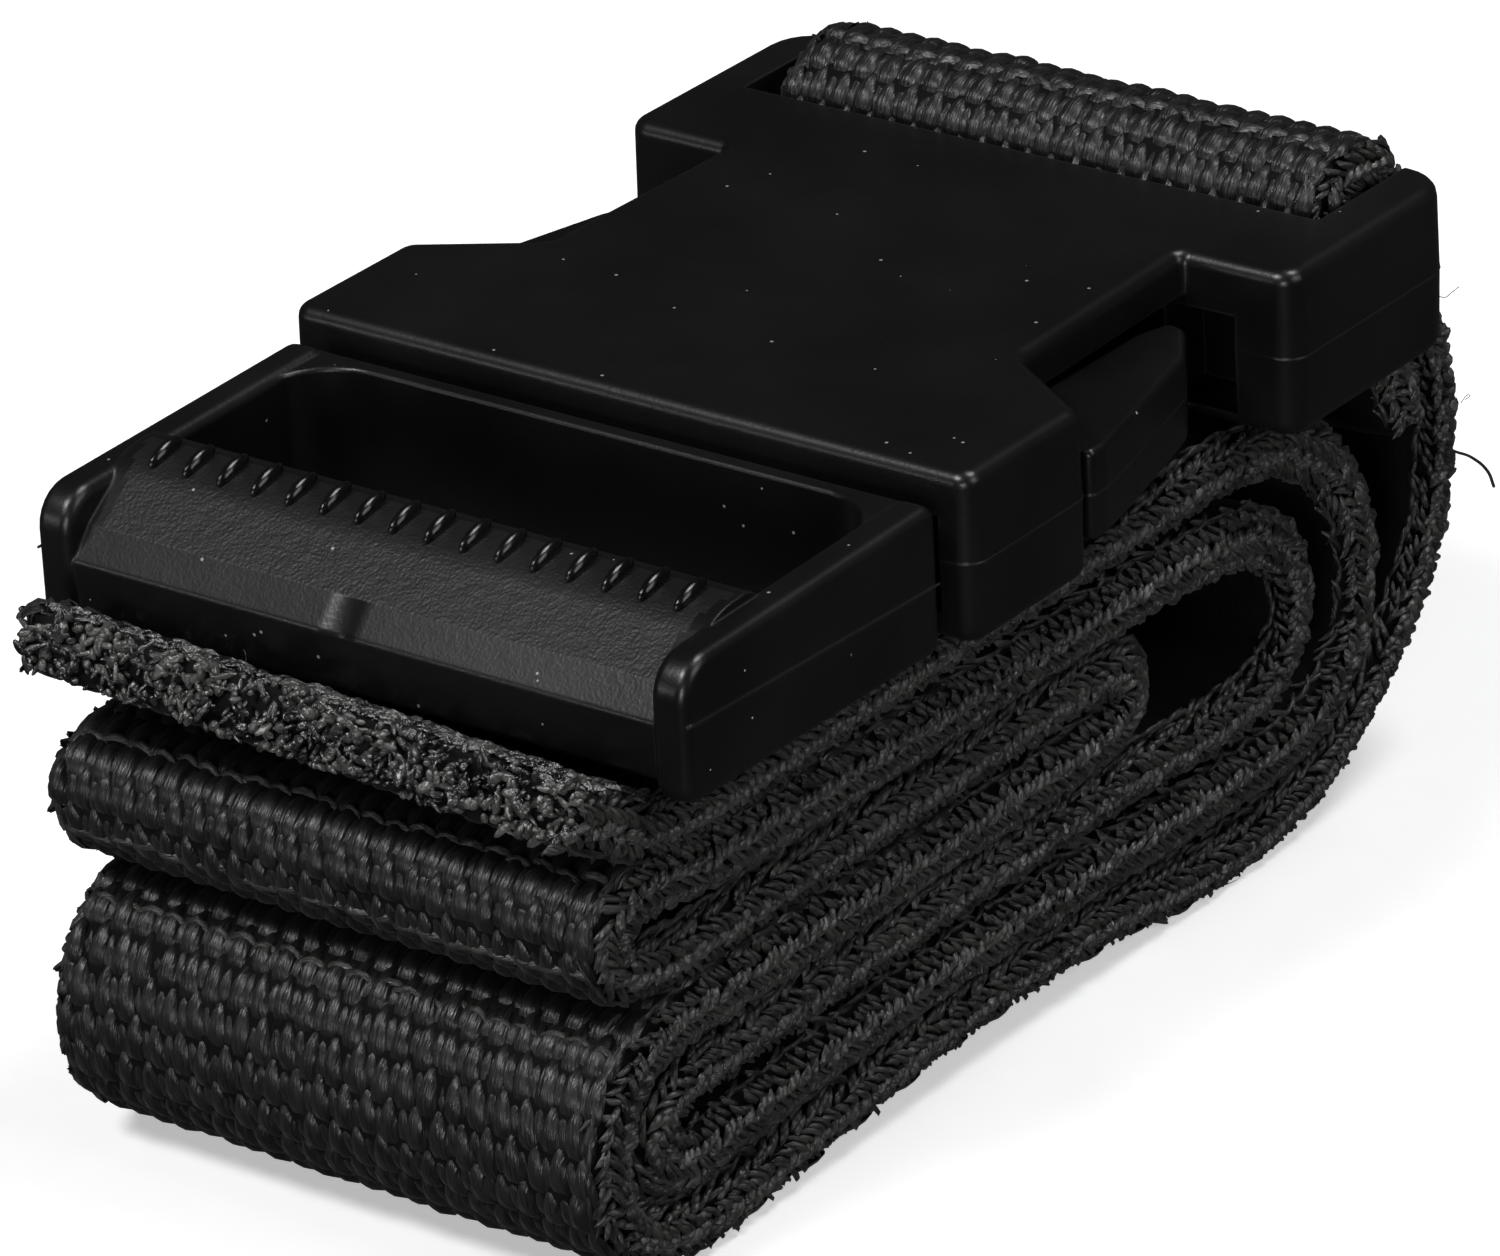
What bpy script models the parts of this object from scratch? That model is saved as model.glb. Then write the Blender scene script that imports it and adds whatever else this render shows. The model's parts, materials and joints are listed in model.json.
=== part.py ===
"""Side-release belt buckle for wide webbing, closed, with its own belt folded under it.

The buckle is two mouldings: a socket, whose rear bar carries the belt, and a plug whose two
sprung arms snap into the socket's side windows. The belt is one strip of thick webbing.
Every outline is drawn in millimetres from the buckle's datum: x across the buckle, y from the
socket's mouth towards its rear bar, z up from the socket's top face. The datum is an empty,
and everything hangs on it.
"""

from math import atan2, cos, pi, radians, sin, tan

import bmesh
import bpy
from mathutils import Vector

MM = 0.001

# Buckle, outside
BUCKLE_WIDTH = 62.0
BUCKLE_THICKNESS = 13.4
SOCKET_LENGTH = 64.5
PLUG_REACH = 31.8
PLUG_WIDTH = 58.4

# Socket
EDGE_ROUND = 1.1
WALL_END = 14.8
WAIST_HALF = 21.8
WAIST_START = 19.6
BLOCK_FRONT = 41.5
CAVITY_TOP = -3.6
CAVITY_BOTTOM = -11.2
CAVITY_HALF = 28.0
SLOT_HALF = 26.7
SLOT_FRONT = 51.6
BAR_FRONT = 57.4
BAR_REAR = 61.6
BAR_TOP = -2.0
BAR_BOTTOM = -11.4
BAR_ROUND = 1.6

# Plug
RAIL_WIDTH = 3.2
RAIL_TOP_FRONT = -2.2
RAIL_TOP_REAR = -1.6
RAIL_BOTTOM = -13.1
GRIP_BOTTOM = -12.0
SHOULDER = -1.5
SLOT_REAR = -3.0
SLOT_CORNER = 5.5
RIDGES = 16
RIDGE_SPAN = 47.0

# Arms
ARM_TOP = -4.0
ARM_BOTTOM = -10.8
HINGE_X = 25.2
HINGE_Y = 0.25
HOOK_X = 30.9
HOOK_Y = 15.1

# Belt
BELT_WIDTH = 51.0
BELT_THICKNESS = 4.3
BELT_STEP = 2.6
SEAM_GAP = 0.3
SEAM_THICKNESS = 0.5

# The whole object's ends and underside, from the datum. The world's origin is midway between the
# ends, on the floor.
FRONT_END = -39.66
REAR_END = 74.08
FLOOR = -51.39
DATUM = Vector((0.0, -0.5 * (FRONT_END + REAR_END), -FLOOR)) * MM

# The belt's middle line from its free end to its sewn end, as (y, z).
FREE_END = [(-38.7, -10.9), (-35.2, -12.7), (-31.4, -15.2), (-26, -16.3)]
TOP_RUN = [(-8, -16.7), (12, -16.8), (32, -16.9), (43, -17.1), (50, -18.6)]
OUTER_REAR_FOLD = [(55.2, -22.2), (58.4, -27.2), (59.2, -32.4), (57.6, -38.0), (53, -41.8)]
SIXTH_RUN = [(46, -42.9), (30, -42.7), (12, -42.2), (-8, -42.4), (-21, -43.1)]
INNER_FRONT_FOLD = [(-28.4, -43.2), (-31.9, -40.5), (-28.6, -37.8)]
FIFTH_RUN = [(-21, -37.3), (-8, -37.2), (12, -37.1), (30, -37.2), (41, -37.6)]
MIDDLE_REAR_FOLD = [(47.3, -36.5), (50.4, -32.4), (49.5, -27.3), (45.2, -23.8)]
SECOND_RUN = [(37, -22.5), (24, -22.2), (8, -22.1), (-10, -21.8), (-24, -21.2)]
UPPER_FRONT_FOLD = [(-31.2, -20.5), (-35.4, -22.0), (-34.6, -25.6), (-29.4, -27.1)]
THIRD_RUN = [(-20, -27.3), (-8, -27.3), (10, -27.3), (22, -27.3)]
INNER_REAR_FOLD = [(27.0, -27.9), (28.6, -29.8), (27.0, -31.7)]
FOURTH_RUN = [(22, -32.3), (10, -32.3), (-8, -32.1), (-21, -31.9)]
LOWER_FRONT_FOLD = [(-29.5, -32.1), (-34.4, -34.0), (-36.9, -38.4), (-36.8, -43.4), (-33.6, -47.2)]
FLOOR_RUN = [(-26.5, -48.9), (-12, -47.9), (4, -46.9), (14, -46.9), (26, -47.6), (37, -49.1), (46, -49.0)]
BACK = [(53.5, -47.3), (60.5, -43.2), (66.3, -38.0), (70.0, -31.6), (71.25, -24.6), (70.2, -18.2)]
BEHIND_BAR = [(67.5, -13.2), (65.0, -9.3), (64.4, -6.0)]
TAIL = [(61.8, -14.9), (64.1, -17.3), (65.6, -20.3), (66.2, -23.0)]


def clear_scene():
    for obj in list(bpy.data.objects):
        bpy.data.objects.remove(obj, do_unlink=True)


def collection(name):
    made = bpy.data.collections.new(name)
    bpy.context.scene.collection.children.link(made)
    return made


def material(name, colour, roughness, metallic=0.0):
    made = bpy.data.materials.new(name)
    made.use_nodes = True
    shader = made.node_tree.nodes["Principled BSDF"]
    shader.inputs["Base Color"].default_value = (*colour, 1.0)
    shader.inputs["Roughness"].default_value = roughness
    shader.inputs["Metallic"].default_value = metallic
    return made


def empty(name, place, parent=None):
    """An empty at place, in millimetres from its parent."""
    made = bpy.data.objects.new(name, None)
    made.empty_display_size = 0.01
    PARTS.objects.link(made)
    made.parent = parent
    made.location = place if parent is None else Vector(place) * MM
    return made


def add(name, mesh, into, parent):
    made = bpy.data.objects.new(name, mesh)
    into.objects.link(made)
    made.parent = parent
    if into is CUTTERS:
        made.hide_render = True
        made.display_type = "WIRE"
    return made


def rounded(corners, steps=4):
    """The outline through corners (x, y, radius), each corner with a radius turned into an arc."""
    outline = []
    for index, (x, y, radius) in enumerate(corners):
        here = Vector((x, y))
        if not radius:
            outline.append(here)
            continue
        back = (Vector(corners[index - 1][:2]) - here).normalized()
        ahead = (Vector(corners[(index + 1) % len(corners)][:2]) - here).normalized()
        half = back.angle(ahead) / 2
        centre = here + (back + ahead).normalized() * (radius / sin(half))
        first = here + back * (radius / tan(half))
        last = here + ahead * (radius / tan(half))
        start = atan2(*(first - centre).yx)
        sweep = (atan2(*(last - centre).yx) - start + pi) % (2 * pi) - pi
        for step in range(steps + 1):
            angle = start + sweep * step / steps
            outline.append(centre + radius * Vector((cos(angle), sin(angle))))
    return outline


def mirrored(half):
    """A whole outline from the corners of its right half, which runs from front to rear."""
    return half + [(-x, y, radius) for x, y, radius in reversed(half)]


def slab(name, outline, low, high, across=False, edge=0.0, into=None, parent=None):
    """A flat outline given a thickness, with its edges rounded by edge.

    The outline lies in x and y and is as thick as low to high in z. With across it lies in
    y and z, and low to high is in x.
    """
    curve = bpy.data.curves.new(name, "CURVE")
    curve.dimensions = "2D"
    curve.fill_mode = "BOTH"
    curve.extrude = ((high - low) / 2 - edge) * MM
    curve.bevel_depth = edge * MM
    curve.bevel_resolution = 2
    curve.offset = -edge * MM
    spline = curve.splines.new("POLY")
    spline.points.add(len(outline) - 1)
    for point, (x, y) in zip(spline.points, outline):
        point.co = (x * MM, y * MM, 0.0, 1.0)
    spline.use_cyclic_u = True
    drawn = bpy.data.objects.new(name + "_outline", curve)
    PARTS.objects.link(drawn)
    bpy.context.view_layer.update()
    mesh = bpy.data.meshes.new_from_object(drawn.evaluated_get(bpy.context.evaluated_depsgraph_get()))
    bpy.data.objects.remove(drawn, do_unlink=True)
    shape = bmesh.new()
    shape.from_mesh(mesh)
    bmesh.ops.remove_doubles(shape, verts=shape.verts, dist=0.002 * MM)
    bmesh.ops.dissolve_limit(shape, angle_limit=radians(0.2), verts=shape.verts, edges=shape.edges)
    bmesh.ops.triangulate(shape, faces=[f for f in shape.faces if len(f.verts) > 4], ngon_method="BEAUTY")
    bmesh.ops.recalc_face_normals(shape, faces=shape.faces)
    shape.to_mesh(mesh)
    shape.free()
    made = add(name, mesh, into or PARTS, parent or BUCKLE)
    middle = (low + high) / 2 * MM
    made.location = (middle, 0, 0) if across else (0, 0, middle)
    made.rotation_euler = (pi / 2, 0, pi / 2) if across else (0, 0, 0)
    return made


def block(name, low, high, parent=None):
    """A box cutter between two corners."""
    (x0, y0, z0), (x1, y1, z1) = low, high
    outline = [(x0, y0), (x1, y0), (x1, y1), (x0, y1)]
    return slab(name, outline, z0, z1, into=CUTTERS, parent=parent)


def boolean(target, other, operation):
    step = target.modifiers.new(other.name, "BOOLEAN")
    step.operation = operation
    step.solver = "EXACT"
    step.object = other


def cut(target, *others):
    for other in others:
        boolean(target, other, "DIFFERENCE")


def join(target, *others):
    for other in others:
        boolean(target, other, "UNION")


def finish(obj, finish_material):
    obj.data.materials.clear()
    obj.data.materials.append(finish_material)
    obj.data.shade_smooth()
    obj.data.set_sharp_from_angle(angle=radians(35))


def make_socket():
    half = BUCKLE_WIDTH / 2
    plan = mirrored([
        (half, 0, 1.4), (half, WALL_END - 0.6, 1.5), (WAIST_HALF, WAIST_START + 0.4, 1.5),
        (WAIST_HALF - 0.6, BLOCK_FRONT - 0.4, 0.6), (half, BLOCK_FRONT - 0.1, 1.5), (half, SOCKET_LENGTH, 4.2),
    ])
    socket = slab("socket", rounded(plan), -BUCKLE_THICKNESS, 0, edge=EDGE_ROUND)
    mouth = block("socket_mouth", (-CAVITY_HALF, -2, CAVITY_BOTTOM), (CAVITY_HALF, WALL_END + 5, CAVITY_TOP))
    window = block("side_windows", (-half - 1, WALL_END, CAVITY_BOTTOM - 0.2),
                   (half + 1, BLOCK_FRONT, CAVITY_TOP + 0.2))
    pockets = [block(f"block_pocket_{side}", (min(side * 21.5, side * 25.7), BLOCK_FRONT - 1, -10.6),
                     (max(side * 21.5, side * 25.7), BLOCK_FRONT + 5, -4.4)) for side in (-1, 1)]
    cut(socket, mouth, window, *pockets)
    rear = block("belt_opening", (-SLOT_HALF, SLOT_FRONT, -20), (SLOT_HALF, SOCKET_LENGTH + 5, 5))
    cut(socket, rear)
    bar_profile = [(BAR_FRONT, BAR_BOTTOM, BAR_ROUND), (BAR_REAR, BAR_BOTTOM, BAR_ROUND),
                   (BAR_REAR, BAR_TOP, BAR_ROUND), (BAR_FRONT, BAR_TOP, BAR_ROUND)]
    bar = slab("belt_bar", rounded(bar_profile), -SLOT_HALF - 1, SLOT_HALF + 1, across=True, into=CUTTERS)
    join(socket, bar)
    guides = [block(f"plug_guide_{side}", (side * 9.3 - 1.0, 12, CAVITY_BOTTOM - 0.5),
                    (side * 9.3 + 1.0, BLOCK_FRONT + 1, CAVITY_TOP + 0.5)) for side in (-1, 1)]
    join(socket, *guides)
    finish(socket, BLACK_ACETAL)


def make_plug(slide):
    outer = PLUG_WIDTH / 2
    inner = outer - RAIL_WIDTH
    rail = rounded([
        (-PLUG_REACH, RAIL_BOTTOM, 1.3), (SHOULDER, RAIL_BOTTOM - 0.2, 1.0),
        (SHOULDER, RAIL_TOP_REAR, 1.2), (-PLUG_REACH, RAIL_TOP_FRONT, 3.2),
    ])
    plug = slab("plug", rail, inner, outer, across=True, edge=0.8, parent=slide)
    left = slab("plug_left_rail", rail, -outer, -inner, across=True, edge=0.8, into=CUTTERS, parent=slide)

    reach = inner + 1.6
    base_plan = rounded(mirrored([
        (reach, SLOT_REAR - 8, 0), (inner + 0.3, SLOT_REAR - 8, 0), (inner + 0.3, SLOT_REAR, SLOT_CORNER),
    ])[::-1] + [(reach, SHOULDER - 0.1, 0), (-reach, SHOULDER - 0.1, 0)])
    base = slab("plug_base", base_plan, RAIL_BOTTOM + 0.4, RAIL_TOP_REAR - 0.45, edge=0.4,
                into=CUTTERS, parent=slide)

    grip_profile = rounded([
        (-31.0, GRIP_BOTTOM, 0.6), (-31.6, -7.5, 0.2), (-29.5, -5.1, 1.2), (-25.2, -1.1, 2.4),
        (-20.0, -1.3, 2.4), (-17.3, -5.0, 2.4), (-17.3, GRIP_BOTTOM, 1.0),
    ], steps=3)
    grip = slab("plug_grip", grip_profile, -reach, reach, across=True, into=CUTTERS, parent=slide)

    shelf = block("plug_shelf", (-22.4, SHOULDER - 1, ARM_BOTTOM - 0.1), (22.4, 3.2, ARM_TOP - 0.2), slide)
    neck = block("plug_neck", (-27.2, SHOULDER - 1, ARM_BOTTOM - 0.1), (27.2, 0, ARM_TOP - 0.2), slide)
    tongue_plan = rounded(mirrored([(6.2, 2.5, 0), (5.2, 27, 2.0)]))
    tongue = slab("plug_tongue", tongue_plan, ARM_BOTTOM + 0.6, ARM_TOP - 0.6, edge=0.4, into=CUTTERS, parent=slide)
    join(plug, left, base, grip, neck, shelf, tongue, make_ridges(slide))
    finish(plug, BLACK_ACETAL)


def make_ridges(slide):
    """The row of short ridges on the grip's crest, which bite into webbing."""
    shape = bmesh.new()
    for index in range(RIDGES):
        x = RIDGE_SPAN * (index / (RIDGES - 1) - 0.5)
        ball = bmesh.ops.create_uvsphere(shape, u_segments=8, v_segments=6, radius=1.0)["verts"]
        bmesh.ops.scale(shape, vec=Vector((0.55, 1.9, 0.75)) * MM, verts=ball)
        bmesh.ops.translate(shape, vec=Vector((x, -22.9, -1.25)) * MM, verts=ball)
    mesh = bpy.data.meshes.new("plug_ridges")
    shape.to_mesh(mesh)
    shape.free()
    return add("plug_ridges", mesh, CUTTERS, slide)


def make_arm(name, side, hinge):
    """One sprung arm, from its thin root to the button that shows in the socket's window."""
    plan = [
        (24.4, 0.5, 0), (23.1, 2.8, 1.5), (23.1, 13.5, 3.0), (21.4, 20.0, 4.0), (21.6, 34.5, 2.0),
        (22.6, 37.6, 0.8), (24.4, 37.0, 1.6), (26.9, 33.2, 4.0), (29.6, 23.0, 14.0), (HOOK_X, 17.0, 2.0),
        (HOOK_X, HOOK_Y, 0.3), (27.1, HOOK_Y, 0.6), (27.1, 2.8, 1.5), (26.0, 0.5, 0),
    ]
    outline = [(side * (x - HINGE_X), y - HINGE_Y) for x, y in rounded(plan)]
    if side < 0:
        outline.reverse()
    arm = slab(name, outline[::-1], ARM_BOTTOM, ARM_TOP, edge=0.5, parent=hinge)
    finish(arm, BLACK_ACETAL)


def smooth_run(points, step):
    """Points about step apart on the smooth curve through points."""
    ends = [2 * points[0] - points[1]] + points + [2 * points[-1] - points[-2]]
    run = []
    for before, a, b, after in zip(ends, ends[1:], ends[2:], ends[3:]):
        count = max(1, round((b - a).length / step))
        knots = [0.0]
        for first, second in ((before, a), (a, b), (b, after)):
            knots.append(knots[-1] + (second - first).length ** 0.5)
        for index in range(count):
            t = knots[1] + (knots[2] - knots[1]) * index / count
            run.append(catmull_rom((before, a, b, after), knots, t))
    return run + [points[-1]]


def catmull_rom(points, knots, t):
    """The point at t on the curve through the middle two of four points."""
    level = list(points)
    for depth in (1, 2, 3):
        level = [
            level[i].lerp(level[i + 1], (t - knots[start]) / (knots[end] - knots[start]))
            for i, (start, end) in enumerate(spans(depth))
        ]
    return level[0]


def spans(depth):
    """Which knots each blend of a four-point curve runs between, at each depth of blending."""
    return {1: ((0, 1), (1, 2), (2, 3)), 2: ((0, 2), (1, 3)), 3: ((1, 2),)}[depth]


def round_bar(centre_y, centre_z, start, end, steps=5):
    """The belt's middle line round one corner of the rear bar."""
    radius = BAR_ROUND + BELT_THICKNESS / 2 + 0.5
    return [
        Vector((centre_y + radius * cos(radians(start + (end - start) * i / steps)),
                centre_z + radius * sin(radians(start + (end - start) * i / steps))))
        for i in range(steps + 1)
    ]


def belt_line():
    """The belt's middle line, from its free end to the end sewn behind the rear bar."""
    loose = (FREE_END + TOP_RUN + OUTER_REAR_FOLD + SIXTH_RUN + INNER_FRONT_FOLD + FIFTH_RUN
             + MIDDLE_REAR_FOLD + SECOND_RUN + UPPER_FRONT_FOLD + THIRD_RUN + INNER_REAR_FOLD
             + FOURTH_RUN + LOWER_FRONT_FOLD + FLOOR_RUN + BACK + BEHIND_BAR)
    front, rear = BAR_FRONT + BAR_ROUND, BAR_REAR - BAR_ROUND
    top, bottom = BAR_TOP - BAR_ROUND, BAR_BOTTOM + BAR_ROUND
    over = round_bar(rear, top, 0, 90) + round_bar(front, top, 90, 180) + round_bar(front, bottom, 180, 270)
    lead = smooth_run([Vector(point) for point in loose] + [over[0]], BELT_STEP)
    tail = smooth_run([over[-1]] + [Vector(point) for point in TAIL], BELT_STEP)
    return lead[:-1] + over + tail[1:]


def make_belt():
    line = belt_line()
    shape = bmesh.new()
    verts = [shape.verts.new((-BELT_WIDTH / 2 * MM, y * MM, z * MM)) for y, z in line]
    edges = [shape.edges.new(pair) for pair in zip(verts, verts[1:])]
    swept = bmesh.ops.extrude_edge_only(shape, edges=edges)["geom"]
    moved = [item for item in swept if isinstance(item, bmesh.types.BMVert)]
    bmesh.ops.translate(shape, vec=Vector((BELT_WIDTH * MM, 0, 0)), verts=moved)
    mesh = bpy.data.meshes.new("belt")
    shape.to_mesh(mesh)
    shape.free()
    belt = add("belt", mesh, PARTS, BUCKLE)
    thick = belt.modifiers.new("thickness", "SOLIDIFY")
    thick.thickness = BELT_THICKNESS * MM
    thick.offset = 0.0
    thick.use_even_offset = True
    finish(belt, BLACK_WEBBING)


def make_seam(name, height):
    """One row of the seam that closes the belt's loop, standing on the belt's outer face."""
    line = belt_line()
    near = [(y, z) for y, z in line if y > 64 and z > -30]
    back = min(near, key=lambda point: abs(point[1] - height) - point[0] * 0.5)
    inner = back[0] + BELT_THICKNESS / 2 + SEAM_GAP + 0.15
    outer = inner + SEAM_THICKNESS
    profile = rounded([(inner, height - 0.6, 0.2), (outer, height - 0.6, 0.2),
                       (outer, height + 0.6, 0.2), (inner, height + 0.6, 0.2)], steps=2)
    row = slab(name, profile, -22, 22, across=True)
    finish(row, BLACK_THREAD)


clear_scene()
PARTS = collection("side_release_belt_buckle")
CUTTERS = collection("cutters")
BLACK_ACETAL = material("black_acetal", (0.018, 0.018, 0.019), 0.42)
BLACK_WEBBING = material("black_webbing", (0.02, 0.02, 0.022), 0.75)
BLACK_THREAD = material("black_thread", (0.02, 0.02, 0.022), 0.6)

BUCKLE = empty("buckle_datum", DATUM)
make_socket()
slide_axis = empty("plug_slide_axis", (0, 0, 0), BUCKLE)
make_plug(slide_axis)
for arm_name, arm_side in (("arm_left", -1), ("arm_right", 1)):
    hinge_axis = empty(arm_name + "_hinge", (arm_side * HINGE_X, HINGE_Y, 0), slide_axis)
    make_arm(arm_name, arm_side, hinge_axis)
make_belt()
for seam_name, seam_height in (("seam_upper", -17.5), ("seam_lower", -21.5)):
    make_seam(seam_name, seam_height)
bpy.context.view_layer.update()
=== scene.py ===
# %% [markdown]
# # A side-release buckle on its own webbing belt
# This lesson dresses a finished CAD part for a picture. The part is a black plastic buckle, clipped
# shut, and its wide belt is folded in seven layers under it. The CAD gives us the true sizes and the
# moving bodies, so we load it first and take every place from it. Nothing here moves or resizes it.

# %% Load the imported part
import json
from math import atan2, cos, pi, radians, sin, tan

import bmesh
import bpy
import numpy as np
from mathutils import Matrix, Vector

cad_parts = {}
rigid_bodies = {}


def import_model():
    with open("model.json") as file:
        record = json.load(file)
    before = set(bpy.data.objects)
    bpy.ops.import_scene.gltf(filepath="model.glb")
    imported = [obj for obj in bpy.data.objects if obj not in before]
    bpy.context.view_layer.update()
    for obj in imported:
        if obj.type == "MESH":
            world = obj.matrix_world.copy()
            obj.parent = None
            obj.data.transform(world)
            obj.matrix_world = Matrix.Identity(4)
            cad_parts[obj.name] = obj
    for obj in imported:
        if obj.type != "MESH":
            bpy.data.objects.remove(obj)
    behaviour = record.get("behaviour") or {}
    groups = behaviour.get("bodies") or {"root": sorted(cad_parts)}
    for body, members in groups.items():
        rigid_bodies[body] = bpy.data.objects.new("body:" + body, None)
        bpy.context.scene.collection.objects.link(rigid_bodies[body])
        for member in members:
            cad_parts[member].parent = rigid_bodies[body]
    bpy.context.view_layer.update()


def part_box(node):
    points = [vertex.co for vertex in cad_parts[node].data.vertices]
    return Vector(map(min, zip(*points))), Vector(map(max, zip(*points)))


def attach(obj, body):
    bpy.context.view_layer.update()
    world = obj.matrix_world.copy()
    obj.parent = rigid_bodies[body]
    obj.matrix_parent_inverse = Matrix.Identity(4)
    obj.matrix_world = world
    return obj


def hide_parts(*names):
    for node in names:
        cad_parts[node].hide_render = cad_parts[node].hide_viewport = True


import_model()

# %% [markdown]
# A maker's drawing of a buckle is in millimetres, measured from one corner that matters. Ours is the
# middle of the socket's mouth, level with its top face: x across, y towards the bar, z up. One matrix
# turns such a drawing into the part's frame, so every shape below can be written the way it is drawn.

# %% The drawing's datum, found from the socket's box
MM = 0.001
socket_low, socket_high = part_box("socket")
MOUTH, TOP = socket_low.y, socket_high.z
HALF_WIDTH = socket_high.x / MM
DEPTH = (socket_high.z - socket_low.z) / MM
TO_FRAME = Matrix.Translation((0.0, MOUTH, TOP)) @ Matrix.Scale(MM, 4)
print(f"buckle {2 * HALF_WIDTH:.1f} mm wide, {DEPTH:.1f} mm thick, mouth at y {MOUTH / MM:.2f} mm")

# %% [markdown]
# The camera looks down on the front right corner through a long lens, which keeps the sides almost
# parallel. We could point a camera with a Track To constraint, but a matrix built from the view
# direction also lets us add the slight tilt of a camera on a real stand.

# %% Camera
VIEW_FROM, VIEW_HEIGHT, VIEW_TILT = radians(37.52), radians(25.28), radians(-2.95)
VIEW_DISTANCE = 640.5 * MM


def look(target):
    """The camera's matrix, looking at a point of the drawing."""
    back = Vector((sin(VIEW_FROM) * cos(VIEW_HEIGHT), -cos(VIEW_FROM) * cos(VIEW_HEIGHT), sin(VIEW_HEIGHT)))
    level = Vector((cos(VIEW_FROM), sin(VIEW_FROM), 0.0))
    upright = back.cross(level)
    right = cos(VIEW_TILT) * level + sin(VIEW_TILT) * upright
    up = cos(VIEW_TILT) * upright - sin(VIEW_TILT) * level
    turn = Matrix((right, up, back)).transposed().to_4x4()
    return Matrix.Translation(TO_FRAME @ Vector(target) + back * VIEW_DISTANCE) @ turn


camera_data = bpy.data.cameras.new("camera")
camera_data.lens = 224.7
camera_data.sensor_width = 36.0
camera_data.sensor_fit = "HORIZONTAL"
camera = bpy.data.objects.new("camera", camera_data)
bpy.context.scene.collection.objects.link(camera)
camera.matrix_world = look((32.05, -27.7, 0.0))
bpy.context.scene.camera = camera
print("camera at", [round(value, 3) for value in camera.location])

# %% [markdown]
# Black plastic shows almost nothing but reflections, so the lights are the picture. Broad panels
# above and in front put soft lines on the rounded edges, while the room stays dim, because the flat
# top face mirrors the part of the room behind it. In a studio, black flags keep a white table out of
# the dark sides. Here the floor is left out of reflections instead, which is a shortcut: no real
# floor does that, and it holds at every angle.

# %% Lights and floor
def panel(name, place, target, size, watts):
    light = bpy.data.lights.new(name, "AREA")
    light.shape = "RECTANGLE"
    light.size, light.size_y = size
    light.energy = watts
    lamp = bpy.data.objects.new(name, light)
    bpy.context.scene.collection.objects.link(lamp)
    lamp.location = place
    lamp.rotation_euler = (Vector(place) - Vector(target)).to_track_quat("Z", "Y").to_euler()
    return lamp


panel("front_panel", (-0.24, -0.64, 0.90), (0, 0, 0.02), (0.40, 0.24), 7.5)
panel("top_panel", (0.30, 0.30, 1.10), (0, 0, 0.02), (0.40, 0.40), 6.0)
panel("side_panel", (0.50, -1.00, 0.20), (0, 0, 0.02), (0.26, 0.30), 3.0)
panel("side_fill", (1.10, 0.10, 0.75), (0, 0, 0.02), (0.60, 0.60), 3.5)
panel("low_left_panel", (-0.60, -0.78, 0.17), (0, 0, 0.02), (0.26, 0.12), 0.5)

world = bpy.data.worlds.new("dim_room")
world.use_nodes = True
world.node_tree.nodes["Background"].inputs["Color"].default_value = (0.55, 0.57, 0.6, 1.0)
world.node_tree.nodes["Background"].inputs["Strength"].default_value = 0.05
bpy.context.scene.world = world
bpy.context.scene.view_settings.view_transform = "Standard"

floor_shape = bmesh.new()
bmesh.ops.create_grid(floor_shape, x_segments=1, y_segments=1, size=4.0)
floor_mesh = bpy.data.meshes.new("floor")
floor_shape.to_mesh(floor_mesh)
floor_shape.free()
floor = bpy.data.objects.new("floor", floor_mesh)
bpy.context.scene.collection.objects.link(floor)
floor.visible_glossy = False

# %% [markdown]
# Materials come next, and with them a little shorthand. Wiring nodes one by one hides the idea, so
# a small class wraps a socket: sums on it add Math nodes, and one method adds any other node.

# %% A socket that can be used in sums
class Socket:
    """One output of a material's nodes, or a plain place to start from."""

    def __init__(self, tree, output=None):
        self.tree = tree
        self.output = output

    def node(self, kind, settings=None, inputs=None, output=0):
        made = self.tree.nodes.new(kind)
        for name, value in (settings or {}).items():
            if name == "stops":
                self.set_stops(made.color_ramp, value)
            else:
                setattr(made, name, value)
        for name, value in (inputs or {}).items():
            if isinstance(value, Socket):
                self.tree.links.new(value.output, made.inputs[name])
            else:
                made.inputs[name].default_value = value
        return Socket(self.tree, made.outputs[output])

    @staticmethod
    def set_stops(ramp, stops):
        while len(ramp.elements) < len(stops):
            ramp.elements.new(0.5)
        for element, (place, level) in zip(ramp.elements, stops):
            element.position = place
            element.color = (level, level, level, 1.0)

    def math(self, operation, first, second=0.0):
        return self.node("ShaderNodeMath", {"operation": operation}, {0: first, 1: second})

    def __add__(self, other):
        return self.math("ADD", self, other)

    __radd__ = __add__

    def __rsub__(self, other):
        return self.math("SUBTRACT", other, self)

    def __mul__(self, other):
        return self.math("MULTIPLY", self, other)

    __rmul__ = __mul__

    def __gt__(self, other):
        return self.math("GREATER_THAN", self, other)


def new_finish(name):
    """An empty material: the Principled shader's node, and a place to start its nodes from."""
    material = bpy.data.materials.new(name)
    material.use_nodes = True
    shader = material.node_tree.nodes["Principled BSDF"]
    return material, shader, Socket(material.node_tree)


def feed(shader, name, value):
    shader.id_data.links.new(value.output, shader.inputs[name])


def ramp(value, *stops):
    return value.node("ShaderNodeValToRGB", {"stops": stops}, {"Fac": value})


def blend_colours(start, amount, dark, light):
    """A colour between two, by an amount from 0 to 1."""
    return start.node("ShaderNodeMix", {"data_type": "RGBA"}, {"Factor": amount, "A": dark, "B": light}, 2)


# %% [markdown]
# The buckle is moulded from black acetal. A real moulding isn't one even black: the tool leaves a
# fine satin grain, handling polishes it in patches, edges rub a little paler, and dust settles on it.
# We could paint all that in a picture, but noise on the object's own coordinates never stretches and
# needs no unwrapping. The Bevel node reads the shape nearby and rounds hard edges by a hair.

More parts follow.
